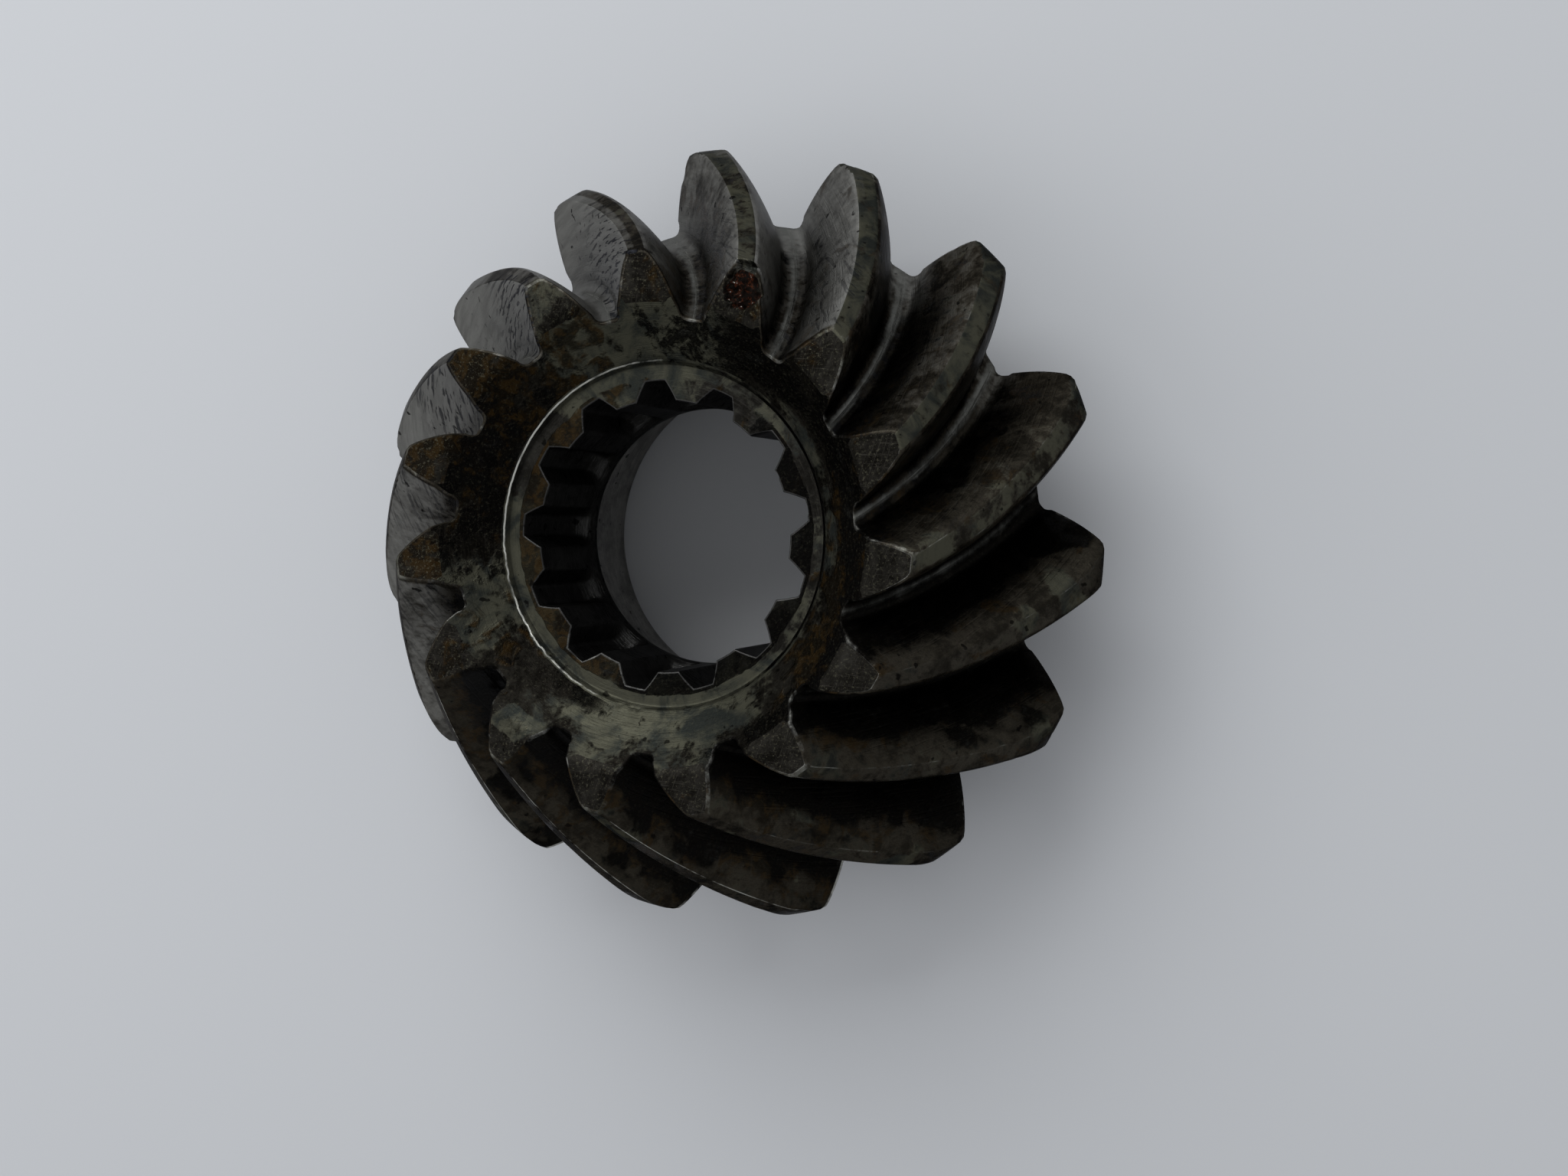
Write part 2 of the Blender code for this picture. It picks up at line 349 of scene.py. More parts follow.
class Surface:
    """Points, faces, and the numbers that each face corner carries."""

    def __init__(self):
        self.points = []
        self.corners = []
        self.numbers = []
        self.zones = []

    def add_points(self, points):
        """Adds points, shape (..., 3), and returns their indices."""
        flat = points.reshape(-1, 3)
        start = sum(len(earlier) for earlier in self.points)
        self.points.append(flat)
        return np.arange(start, start + len(flat)).reshape(points.shape[:-1])

    def add_faces(self, corners, numbers, zones):
        """Adds four-cornered faces; a corner that repeats makes a triangle."""
        self.corners.append(corners.reshape(-1, 4))
        self.numbers.append(numbers.reshape(-1, 4, NUMBERS))
        self.zones.append(np.broadcast_to(zones, corners.shape[:-1]).reshape(-1))

    def add_grid(self, index, numbers, zones):
        """Quads over a grid of indices, closed round the axis."""
        def four(grid):
            grid = np.concatenate([grid, grid[:, :1]], axis=1)
            return np.stack([grid[:-1, :-1], grid[:-1, 1:], grid[1:, 1:], grid[1:, :-1]], axis=2)
        self.add_faces(four(index), four(numbers), zones)

    def add_rows(self, index, ring, rows, zone, edge_rows=(0, -1)):
        """Rings joined to one that is there already; returns the last one's indices."""
        index = np.concatenate([index[None], self.add_points(np.stack(rows))])
        points = np.stack([ring] + rows)
        self.add_grid(index, plain_numbers(points, on_rows(len(points), *edge_rows)), zone)
        return index[-1]

    def add_zip(self, first, second, zone):
        """Triangles between two closed rings of different counts."""
        points = np.concatenate(self.points)
        first, first_angle = by_angle(first, points)
        second, second_angle = by_angle(second, points)
        order = np.argsort(np.concatenate([first_angle[1:], second_angle[1:]]), kind="stable")
        on_first = (order < len(first) - 1).astype(int)
        i = np.cumsum(on_first) - on_first
        j = np.arange(len(order)) - i
        onward = np.where(on_first, np.roll(first, -1)[i], np.roll(second, -1)[j])
        corners = np.stack([first[i], onward, second[j], second[j]], axis=1)
        self.add_faces(corners, plain_numbers(points[corners]), zone)

    def face_lists(self):
        """(faces, corner numbers, zones) without repeated corners or collapsed faces."""
        corners = np.concatenate(self.corners)
        numbers = np.concatenate(self.numbers)
        zones = np.concatenate(self.zones)
        kept = corners != np.roll(corners, 1, axis=1)
        whole = kept.sum(axis=1) > 2
        corners, numbers, zones, kept = corners[whole], numbers[whole], zones[whole], kept[whole]
        faces = [tuple(face[keep].tolist()) for face, keep in zip(corners, kept)]
        return faces, numbers[kept], zones


def by_angle(ring, points):
    """The ring and its angles, from the smallest, with the first again at the end."""
    angle = np.arctan2(points[ring, 1], points[ring, 0]) % TURN
    start = int(np.argmin(angle))
    ring = np.roll(ring, -start)
    angle = np.roll(angle, -start)
    return np.append(ring, ring[0]), np.append(angle, angle[0] + TURN)


def plain_numbers(points, edge=0.0):
    """Corner numbers away from the teeth: the flow is the place itself."""
    numbers = np.zeros(points.shape[:-1] + (NUMBERS,))
    numbers[..., FLOW] = points
    numbers[..., SHARE] = -1.0
    numbers[..., EDGE] = edge
    return numbers


def on_rows(count, first, last):
    """1 on these rows of a grid and 0 on the others."""
    row = np.arange(count)
    return ((row >= first) & (row <= last)).astype(float)[:, None]


def polar(points):
    return np.hypot(points[..., 0], points[..., 1]), np.arctan2(points[..., 1], points[..., 0])


def at_radius(radius, angle, height):
    radius, angle, height = np.broadcast_arrays(radius, angle, height)
    return np.stack([radius * np.cos(angle), radius * np.sin(angle), height], axis=-1)


def pulled_inward(plan, width):
    """A counter-clockwise outline in plan, moved into its own inside."""
    step = np.roll(plan, -1, axis=0) - plan
    length = np.linalg.norm(step, axis=1, keepdims=True)
    normal = np.stack([-step[:, 1], step[:, 0]], axis=1) / np.maximum(length, 1e-9)
    before = np.roll(normal, 1, axis=0)
    meet = 1.0 + np.sum(before * normal, axis=1, keepdims=True)
    return plan + width * (before + normal) / np.maximum(meet, 0.6)


def rounding(first, corner, last):
    """Rows that round the corner between two rings."""
    rows = []
    for i in range(1, BEVEL_STEPS):
        t = i / BEVEL_STEPS
        rows.append((1 - t) ** 2 * first + 2 * t * (1 - t) * corner + t ** 2 * last)
    return rows


def between(first, last, shares):
    """Rows at these shares of the way from one ring to another."""
    first_radius, first_angle = polar(first)
    last_radius, last_angle = polar(last)
    swing = (last_angle - first_angle + pi) % TURN - pi
    rows = []
    for t in shares:
        radius = first_radius + (last_radius - first_radius) * t
        height = first[..., 2] + (last[..., 2] - first[..., 2]) * t
        rows.append(at_radius(radius, first_angle + swing * t, height))
    return rows


# ---- the pinion's surface ----
def repeated(section_value, step):
    """One pitch's values for every tooth, a step apart."""
    return np.concatenate([section_value + step * tooth for tooth in range(TEETH)])


def tooth_ring():
    """Share, angle, edge, gap middle and tooth number round all the teeth."""
    share, angle, edge, middle = tooth_section()
    number = repeated(np.zeros(len(share)), 1.0)
    return repeated(share, 0.0), repeated(angle, TURN / TEETH), repeated(edge, 0.0), repeated(middle, 0.0), number


def broken(share, angle, along, width, height_at):
    """The rings where the teeth end: on the flank, at the corner, and on the end face."""
    corner = tooth_points(share, angle, along)
    step = 0.01 * (1.0 - 2.0 * along)
    beside = tooth_points(share, angle, along + step)
    reach = np.linalg.norm(beside - corner, axis=1)
    on_flank = tooth_points(share, angle, along + step * width / reach)
    plan = pulled_inward(corner[:, :2], width)
    radius = np.hypot(plan[:, 0], plan[:, 1])
    on_end = np.concatenate([plan, height_at(radius)[:, None]], axis=1)
    return on_flank, corner, on_end


def tooth_numbers(points, share, along, number):
    """Corner numbers on the teeth: flow along the tooth and up its flank."""
    scale = cone_scale(share, along)
    numbers = np.zeros(points.shape[:-1] + (NUMBERS,))
    numbers[..., 0] = TOOTH_RUN * (1.0 - scale)
    numbers[..., 1] = WHOLE_DEPTH * scale * share
    numbers[..., 2] = TOOTH_OFFSET * number
    numbers[..., SHARE] = share
    numbers[..., ALONG] = along
    numbers[..., TOOTH] = number
    return numbers


def add_teeth(surface):
    """Flanks and crests; returns the end-face rings at the heel and the toe."""
    share, angle, edge, middle, number = tooth_ring()
    heel_flank, heel_corner, heel_end = broken(share, angle, 0.0, HEEL_EDGE_BREAK, back_cone_height)
    toe_flank, toe_corner, toe_end = broken(share, angle, 1.0, TOE_EDGE_BREAK, front_height)
    start = HEEL_EDGE_BREAK / TOOTH_LENGTH
    stop = 1.0 - TOE_EDGE_BREAK / TOOTH_LENGTH
    alongs = np.linspace(start, stop, LENGTHWISE_STEPS)
    rows = [heel_end] + rounding(heel_end, heel_corner, heel_flank) + [heel_flank]
    rows += [tooth_points(share, angle, along) for along in alongs[1:-1]]
    rows += [toe_flank] + rounding(toe_flank, toe_corner, toe_end) + [toe_end]
    places = [0.0] * (BEVEL_STEPS + 1) + list(alongs[1:-1]) + [1.0] * (BEVEL_STEPS + 1)
    points = np.stack(rows)
    index = surface.add_points(points)
    numbers = np.stack([tooth_numbers(row, share, place, number) for row, place in zip(points, places)])
    count = len(rows)
    rim = on_rows(count, 0, BEVEL_STEPS) + on_rows(count, count - 1 - BEVEL_STEPS, count)
    numbers[..., EDGE] = np.maximum(edge, rim)
    numbers[..., GAP_MIDDLE] = middle
    surface.add_grid(index, numbers, crest_or_flank(share, places))
    return index[0], index[-1], heel_end, toe_end


def crest_or_flank(share, places):
    """Zone of each face of the toothed surface."""
    lower = np.minimum(share, np.roll(share, -1))
    highest = 1.0 - CREST_MARGIN * FLANK_EDGE_BREAK / WHOLE_DEPTH
    zones = []
    for place in places[:-1]:
        limit = np.minimum(crest_limit(cone_scale(lower, place)), highest)
        zones.append(np.where(lower >= limit - 1e-6, CREST, FLANK))
    return np.stack(zones)


def add_toe_faces(surface, toe_index, toe_end):
    """The flat toe faces; returns the ring that starts the dish."""
    share, _, _, _, number = tooth_ring()
    outer_radius, angle = polar(toe_end)
    on_face = share > corner_share() + 1e-6
    rim = toe_end.copy()
    reach = np.minimum(DISH_EDGE_BREAK, DISH_EDGE_SHARE * (outer_radius - TOE_FACE_INNER_RADIUS))
    rim[on_face] = at_radius(TOE_FACE_INNER_RADIUS + reach, angle, TOE_FACE_HEIGHT)[on_face]
    corner = at_radius(TOE_FACE_INNER_RADIUS, angle, TOE_FACE_HEIGHT)
    inner_radius = TOE_FACE_INNER_RADIUS - reach
    dish_start = at_radius(inner_radius, angle, front_height(inner_radius))
    shares = np.linspace(0.0, 1.0, TOE_FACE_ROWS) ** TOE_FACE_SPACING
    rows = between(toe_end, rim, shares[1:]) + rounding(rim, corner, dish_start) + [dish_start]
    points = np.stack(rows)
    index = np.broadcast_to(toe_index, points.shape[:2]).copy()
    index[:, on_face] = surface.add_points(points[:, on_face])
    index = np.concatenate([toe_index[None], index])
    points = np.concatenate([toe_end[None], points])
    numbers = plain_numbers(points, on_rows(len(points), 0, 0))
    numbers[..., TOOTH] = number
    surface.add_grid(index, numbers, TOE_FACE)
    start = np.where(on_face[:, None], dish_start, toe_end)
    return index[-1], start


def nose_rim_wobble(angle):
    """Ragged height of the nut seat's rim, with the burr that spot-facing left."""
    place = at_radius(NOSE_RADIUS, angle, 0.0)
    burr = near_azimuth(np.degrees(angle), BURR_AZIMUTH, BURR_SPREAD)
    return (cloud(place, *RIM_WOBBLE) - 0.5) * (RIM_RAGGED + RIM_BURR * burr)


def add_dish_and_nose(surface, index, start):
    """The dish, the nut seat's wall and its flat; returns the last ring."""
    _, angle = polar(start)
    wobble = nose_rim_wobble(angle)
    rim_radius = NOSE_RADIUS + 0.5 * wobble
    rim = at_radius(rim_radius, angle, NOSE_RIM_HEIGHT + np.maximum(wobble, 0.0))
    before_rim = at_radius(rim_radius + RIM_BREAK, angle, front_height(rim_radius + RIM_BREAK))
    foot = at_radius(NOSE_RADIUS - NOSE_WALL_TAPER, angle, NOSE_HEIGHT)
    lip = foot + (rim - foot) * WALL_TOP
    after_foot = at_radius(NOSE_RADIUS - NOSE_WALL_TAPER - SEAT_BREAK, angle, NOSE_HEIGHT)
    lift = foot + (rim - foot) * WALL_FOOT
    rows = between(start, before_rim, np.linspace(0.0, 1.0, DISH_ROWS)[1:])
    index = surface.add_rows(index, start, rows, DISH)
    rows = rounding(before_rim, rim, lip) + [lip, lift] + rounding(lift, foot, after_foot) + [after_foot]
    rows += [at_radius(radius, angle, NOSE_HEIGHT) for radius in NOSE_FLAT_RADII]
    return surface.add_rows(index, before_rim, rows, NOSE, (1, BEVEL_STEPS - 1))


def spline_outline():
    """Radius and angle round the splined bore, with straight flanks."""
    pitch = TURN / SPLINES
    tip, base = SPLINE_TIP_HALF_ANGLE, SPLINE_BASE_HALF_ANGLE
    low, high = SPLINE_MINOR_RADIUS, SPLINE_MAJOR_RADIUS
    step = np.arange(SPLINE_STEPS)

    def stepped(corners):
        return np.concatenate([a + (b - a) * step / SPLINE_STEPS for a, b in zip(corners, corners[1:])])

    radius = stepped((low, low, high, high, low))
    angle = stepped((-tip, tip, base, pitch - base, pitch - tip))
    angles = [angle + SPLINE_PHASE + pitch * tooth for tooth in range(SPLINES)]
    return np.tile(radius, SPLINES), np.concatenate(angles)


def add_bore(surface, nose_index):
    """Spline mouth, splines, run-out, land and relief; returns the back face's inner ring."""
    radius, angle = spline_outline()
    outline = at_radius(radius, angle, NOSE_HEIGHT)
    plan = pulled_inward(outline[:, :2], -SPLINE_EDGE_BREAK)
    lip = np.concatenate([plan, outline[:, 2:]], axis=1)
    margin = at_radius(SPLINE_MARGIN_RADIUS, polar(lip)[1], NOSE_HEIGHT)
    below = outline - (0.0, 0.0, SPLINE_EDGE_BREAK)
    rows = between(margin, lip, np.linspace(0.0, 1.0, SPLINE_MARGIN_ROWS))
    mouth = surface.add_points(np.stack(rows))
    numbers = plain_numbers(np.stack(rows), on_rows(len(rows), len(rows) - 1, len(rows)))
    surface.add_grid(mouth, numbers, NOSE)
    surface.add_zip(nose_index, mouth[0], NOSE)
    rows = rounding(lip, outline, below) + [below]
    heights = np.linspace(NOSE_HEIGHT - 0.5, SPLINE_END_HEIGHT, SPLINE_ROWS)
    rows += [outline * (1, 1, 0) + (0, 0, z) for z in heights]
    for t in np.linspace(0.0, 1.0, RUN_OUT_ROWS)[1:]:
        ramp = radius + (SPLINE_MINOR_RADIUS - radius) * t ** RUN_OUT_POWER
        rows.append(at_radius(ramp, angle, SPLINE_END_HEIGHT + (RUN_OUT_HEIGHT - SPLINE_END_HEIGHT) * t))
    profile = [
        (SPLINE_MINOR_RADIUS, LAND_END_HEIGHT + 0.12),
        (SPLINE_MINOR_RADIUS + CORNER_STEP, LAND_END_HEIGHT),
        (RELIEF_RADIUS - CORNER_STEP, RELIEF_TOP_HEIGHT + CORNER_STEP),
        (RELIEF_RADIUS, RELIEF_TOP_HEIGHT - CORNER_STEP),
    ]
    heights = np.linspace(RELIEF_TOP_HEIGHT - 0.6, RELIEF_CHAMFER + CORNER_STEP, RELIEF_ROWS)
    profile += [(RELIEF_RADIUS, z) for z in heights]
    profile += [
        (RELIEF_RADIUS + CHAMFER_STEP, RELIEF_CHAMFER - CHAMFER_STEP),
        (RELIEF_RADIUS + RELIEF_CHAMFER - CHAMFER_STEP, CHAMFER_STEP),
        (RELIEF_RADIUS + RELIEF_CHAMFER + CORNER_STEP, 0.0),
    ]
    rows += [at_radius(r, angle, z) for r, z in profile]
    return surface.add_rows(mouth[-1], lip, rows, BORE, (0, BEVEL_STEPS))


def add_back(surface, bore_index, heel_index, heel_end):
    """Back face, hub and the back cone up to the teeth."""
    angle = polar(heel_end)[1]
    hub_top = back_cone_height(HUB_RADIUS)
    radii = np.linspace(RELIEF_RADIUS + 1.0, HUB_RADIUS - HUB_CHAMFER - CORNER_STEP, BACK_FACE_ROWS)
    profile = [(r, 0.0) for r in radii]
    profile += [
        (HUB_RADIUS - HUB_CHAMFER + HUB_STEP, HUB_STEP),
        (HUB_RADIUS - HUB_STEP, HUB_CHAMFER - HUB_STEP),
        (HUB_RADIUS, HUB_CHAMFER + CORNER_STEP),
    ]
    heights = np.linspace(HUB_CHAMFER + 0.6, hub_top - HUB_FILLET - 0.3, HUB_ROWS)
    profile += [(HUB_RADIUS, z) for z in heights]
    rows = [at_radius(r, angle, z) for r, z in profile]
    below = at_radius(HUB_RADIUS, angle, hub_top - HUB_FILLET)
    outer_radius = HUB_RADIUS + HUB_FILLET * cos(BACK_CONE_SLOPE)
    beside = at_radius(outer_radius, angle, back_cone_height(outer_radius))
    rows += [below] + rounding(below, at_radius(HUB_RADIUS, angle, hub_top), beside) + [beside]
    last = rows[-1]
    rows += between(last, heel_end, np.linspace(0.0, 1.0, BACK_CONE_ROWS)[1:-1])
    points = np.stack(rows)
    back = np.concatenate([surface.add_points(points), heel_index[None]])
    points = np.concatenate([points, heel_end[None]])
    surface.add_grid(back, plain_numbers(points), BACK)
    surface.add_zip(bore_index, back[0], BACK)


def pinion_surface():
    """The closed surface: teeth, front, bore, back."""
    surface = Surface()
    heel_index, toe_index, heel_end, toe_end = add_teeth(surface)
    dish_index, dish_start = add_toe_faces(surface, toe_index, toe_end)
    nose_index = add_dish_and_nose(surface, dish_index, dish_start)
    bore_index = add_bore(surface, nose_index)
    add_back(surface, bore_index, heel_index, heel_end)
    return surface


# ---- where the surface is worn, stained and oily, and where sheen and highlights are painted ----
# Each row runs over the teeth from number 0, counter-clockwise. 1 is the heaviest.
SLUDGE_IN_GAP = (0.48, 0.54, 0.36, 0.2, 0.05, 0.05, 0.1, 0.2, 0.4, 0.95, 0.95, 0.95, 0.9, 0.8, 0.78)
BROWN_ON_FLANK = (0.6, 0.55, 0.4, 0.7, 0.0, 0.0, 0.0, 0.1, 0.25, 0.95, 1.0, 1.0, 1.0, 0.65, 0.6)
# Polished satin by tooth, most on the teeth that face the lamps: partly real polish, partly painted sheen
POLISH_AND_SHEEN_FLANK = (0.14, 0.22, 0.54, 0.46, 1.0, 1.0, 0.85, 0.52, 0.44, 0.1, 0.0, 0.0, 0.0, 0.0, 0.05)
BROWN_TOE_FACE = (0.1, 0.1, 0.2, 0.55, 0.4, 0.35, 1.0, 0.95, 0.8, 0.5, 0.35, 0.2, 0.2, 0.1, 0.1)
# A lighter stripe along each gap floor: a painted reflection
GAP_FLOOR_SHEEN = (0.62, 0.72, 1.0, 1.0, 0.8, 0.5, 0.4, 0.3, 0.2, 0.0, 0.0, 0.0, 0.0, 0.15, 0.35)

# Ranges over which something comes in: where it is gone, and where it is full
HEAVY_SLUDGE = (0.68, 0.8)
FOOT_FADE = (0.8, 0.36)
OIL_SPOT_EDGE = (0.54, 0.66)
PALE_SPOT_EDGE = (0.6, 0.72)
PALE_CREST = (40.0, 60.0)
# Teeth round this azimuth get a painted highlight along their edges, over the bare metal
EDGE_HIGHLIGHT_TEETH = (240.0, 60.0)
DIRTY_BORE = (12.2, 13.4)

MASKS = ("oil", "varnish", "polish_and_sheen", "pale", "floor", "score", "bare_and_highlight", "rust")
# Stains of the front, the nut seat, the bore and the back, by place and kind; the pale at the top of the dish and
# nut seat and the bare on the rim, seat and bore mouth are painted highlights.
# Each has its strength, the azimuth where it is full and how far from there it is gone, and the radii where it is
# gone and where it is full
STAINS_AND_HIGHLIGHTS = {
    "toe": {
        "oil": ((0.2, 120, 60),),
        "pale": ((0.42, 90, 24),),
        # Bare metal on the toe faces' edges, partly a painted highlight
        "bare_and_highlight": ((0.08,), (0.34, 320, 90), (0.16, 240, 40)),
    },
    "dish": {
        "oil": (
            (0.6, 15, 75), (0.56, 145, 60), (0.62, 300, 55, 15.2, 17), (0.2, 85, 40),
            (0.55, 220, 24, 15.6, 14.4), (-0.5, 350, 62, 15.4, 14.2),
        ),
        "varnish": (
            (0.6, 120, 65), (0.8, 325, 50), (0.4, 190, 25), (-0.45, 350, 62, 15.4, 14.2),
        ),
        "pale": (
            # At azimuth 75 the pale is a painted highlight at the top of the dish
            (0.46, 248, 62), (0.38, 248, 62, 17, 15), (0.8, 75, 50), (0.72, 178, 24),
            (-0.3, 220, 24, 15.6, 14.4), (0.62, 350, 62, 15.4, 14.2),
        ),
        "bare_and_highlight": ((0.3,), (0.45, 345, 70)),
    },
    "nose": {
        "pale": (
            # At azimuth 85 the pale is a painted highlight at the top of the nut seat
            (0.55,), (0.35, 215, 110), (-0.1, 350, 70), (0.35, 85, 35), (-0.35, 203, 16),
            (-0.45, 129, 24),
        ),
        "varnish": ((0.15, 345, 60),),
        "oil": ((0.15, 350, 50),),
    },
    "spline_end": {
        "oil": ((0.15,), (0.75, 318, 95), (0.6, 250, 24)),
        "varnish": ((0.15,), (1.0, 170, 110)),
        "pale": ((-0.15,),),
    },
    # The bare on the rim, seat and bore mouth, round azimuths 145 to 215, is a painted highlight
    "ragged_rim": {"bare_and_highlight": ((1.0, 145, 120),)},
    "seat": {"bare_and_highlight": ((0.3, 215, 100),)},
    "wall": {"oil": ((0.15,), (0.45, 345, 110))},
    "bore": {"bare_and_highlight": ((0.25, 215, 100),)},
    "back": {"oil": ((0.15,),), "varnish": ((0.15,),), "bare_and_highlight": ((0.6,),)},
    "chip": {"pale": ((0.7,),), "oil": ((-1.0,),), "varnish": ((-1.0,),)},
    "fleck": {"pale": ((0.75,),), "oil": ((-0.6,),)},
    "brown_toe": {"varnish": ((0.75,),)},
    "rusted_toe": {"rust": ((0.7,),)},
    "dirty_bore": {"oil": ((1.2,),)},
    "stained_back": {"oil": ((0.35,),)},
    "blotched_back": {"varnish": ((0.45,),)},
}


def of_tooth(row, number):
    return np.array(row)[np.round(number).astype(int) % TEETH]


def on_counter_side(place, share, along, tooth):
    """1 on a tooth's counter-clockwise flank."""
    turn = polar(place)[1]
    middle = TURN * tooth / TEETH - SPIRAL_TURN * (1.0 - cone_scale(np.maximum(share, 0.0), along))
    return ((turn - middle + pi) % TURN - pi > 0.0).astype(float)


def tooth_masks(place, numbers, zone):
    """Stains of the flanks, crests and gap floors, with painted sheen on the polished flanks, a painted reflection
    on the gap floors and painted highlights on the edges.
    """
    share, along, tooth = (numbers[..., i] for i in (SHARE, ALONG, TOOTH))
    azimuth = tooth * 360.0 / TEETH
    on_crest = zone == CREST
    counter = on_counter_side(place, share, along, tooth)
    # The floor and the clockwise flank of a gap belong to the gap on the other side of their tooth
    gap = np.where(counter > 0.5, tooth, tooth - 1)
    large = cloud(place, *LARGE_STAINS)

    sludge = of_tooth(SLUDGE_IN_GAP, gap)
    heavy = smooth(sludge, *HEAVY_SLUDGE)
    foot = smooth(share + 0.55 * (large - 0.5), *FOOT_FADE)
    foot *= 1.0 - (1.0 - heavy) * smooth(along, 0.4, 0.05)
    film = 0.12 + 0.13 * heavy + 0.25 * heavy * smooth(along, 0.25, 0.0)
    spots = smooth(cloud(place, *OIL_SPOTS), *OIL_SPOT_EDGE) * smooth(share, 1.02, 0.8)
    oil = sludge * (foot * (0.7 + 0.6 * large) + film + 0.62 * spots)

    toe_end = smooth(along, 0.45, 0.95) * smooth(share, 0.85, 0.45)
    mid_flank = smooth(np.abs(share - 0.55), 0.4, 0.1)
    varnish = of_tooth(BROWN_ON_FLANK, gap) * (0.35 + 0.35 * toe_end + 0.3 * mid_flank)

    # Polished satin, most on the teeth that face the lamps: partly real polish, partly painted sheen
    polished_and_lit = of_tooth(POLISH_AND_SHEEN_FLANK, gap)
    polish_and_sheen = polished_and_lit * (0.65 + 0.5 * smooth(share, 0.0, 0.5)) * smooth(along, 1.0, 0.98)
    polish_and_sheen *= np.where(on_crest, 0.35 + 0.6 * smooth(along, 0.45, 0.0), 1.0)

    pale = (1.0 - polish_and_sheen) * smooth(share, 0.35, 0.95) * (0.02 + 0.52 * large)
    spots = smooth(cloud(place, *PALE_SPOTS), *PALE_SPOT_EDGE) * smooth(share, 0.3, 0.6)
    pale += 0.55 * sludge * spots + 0.52 * on_crest * near_azimuth(azimuth, *PALE_CREST)

    # A lighter stripe along each gap floor and the flank foot by the heel: a painted reflection, with real
    # machining lines over it
    worn = of_tooth(GAP_FLOOR_SHEEN, gap)
    patchy = 0.55 + 0.9 * cloud(place, *PATCHY_FLOOR)
    heel_foot = smooth(worn, 0.5, 0.7) * smooth(along, 0.5, 0.02)
    floor = numbers[..., GAP_MIDDLE] * (0.2 + 0.85 * worn) * smooth(worn, 0.0, 0.2) * patchy
    floor += 0.4 * heel_foot * smooth(share, 0.18, 0.04)
    polish_and_sheen += 0.42 * heel_foot * smooth(share, 0.45, 0.15)

    score = counter * polished_and_lit * smooth(along + 0.4 * (large - 0.5) - 0.15 * share, 0.15, 0.6)
    # Bare metal on the edges, more on the teeth round azimuth 240 as a painted highlight
    bare_and_highlight = 0.02 + 0.4 * large + 0.3 * near_azimuth(azimuth, *EDGE_HIGHLIGHT_TEETH) * smooth(along, 0.97, 0.9)
    return dict(oil=oil, varnish=varnish, polish_and_sheen=polish_and_sheen, pale=pale, floor=floor, score=score, bare_and_highlight=bare_and_highlight)


def beside(points, radius, azimuth):
    """How far points lie outwards and sideways of this place, in plan."""
    centre = at_radius(radius, radians(azimuth), 0.0)
    out = centre[:2] / radius
    away = points[..., :2] - centre[:2]
    radial = away[..., 0] * out[0] + away[..., 1] * out[1]
    return radial, away[..., 1] * out[0] - away[..., 0] * out[1]


def near_spot(place, radius, azimuth, half_length, half_width):
    """1 inside an angular patch at this place on the front, 0 outside it."""
    radial, sideways = beside(place, radius, azimuth)
    reach = np.maximum(np.abs(radial) / half_length, np.abs(sideways + SPOT_SLANT * radial) / half_width)
    return smooth(reach, 1.1, 0.85)


def front_masks(place, numbers, zone):
    """Stains of the toe faces, the dish, the nut seat, the bore and the back, with painted highlights at the top
    of the dish and nut seat and on the seat's rim.
    """
    radius, turn = polar(place)
    azimuth = np.degrees(turn)
    toe, dish, nose, bore, back = (zone == each for each in (TOE_FACE, DISH, NOSE, BORE, BACK))
    rim = nose & (radius > NOSE_RADIUS - 0.5)
    pit = pit_depth(place.reshape(-1, 3)).reshape(radius.shape)
    cover = {
        "toe": toe,
        "dish": dish,
        "nose": nose,
        "spline_end": nose & (radius < SPLINE_MAJOR_RADIUS + 0.35),
        "ragged_rim": rim * (0.25 + 1.3 * cloud(place, *RAGGED_EDGE)),
        "seat": nose & ~rim,
        "wall": nose & (radius < NOSE_RADIUS - 0.04) & (radius > NOSE_RADIUS - NOSE_WALL_TAPER - 0.1),
        "bore": bore,
        "back": back,
        "chip": (toe | dish) * near_spot(place, *CHIP),
        "fleck": dish * near_spot(place, *FLECK),
        "brown_toe": toe * of_tooth(BROWN_TOE_FACE, numbers[..., TOOTH]),
        "rusted_toe": toe * smooth(pit, 0.05, 0.25),
        "dirty_bore": bore * smooth(place[..., 2], *DIRTY_BORE),
        "stained_back": back * cloud(place, *LARGE_STAINS),
        "blotched_back": back * cloud(place, *MEDIUM_STAINS),
    }
    masks = dict.fromkeys(MASKS, 0.0)
    # Stains and painted highlights are laid on the same way
    for where, kinds in STAINS_AND_HIGHLIGHTS.items():
        for name, (amount, *limits) in ((name, stain_and_highlight) for name, stains_and_highlights in kinds.items() for stain_and_highlight in stains_and_highlights):
            stain_and_highlight = amount * cover[where]
            if limits:
                stain_and_highlight = stain_and_highlight * near_azimuth(azimuth, *limits[:2])
            if limits[2:]:
                stain_and_highlight = stain_and_highlight * smooth(radius, *limits[2:])
            masks[name] = masks[name] + stain_and_highlight
    return masks


def stain_and_highlight_masks(place, numbers, zone):
    """How much of each stain, painted sheen and painted highlight a face corner carries."""
    on_tooth = (zone == FLANK) | (zone == CREST)
    teeth = tooth_masks(place, numbers, zone)
    front = front_masks(place, numbers, zone)
    masks = {name: np.where(on_tooth, teeth.get(name, 0.0), front[name]) for name in MASKS}
    masks["edge"] = numbers[..., EDGE]
    return masks


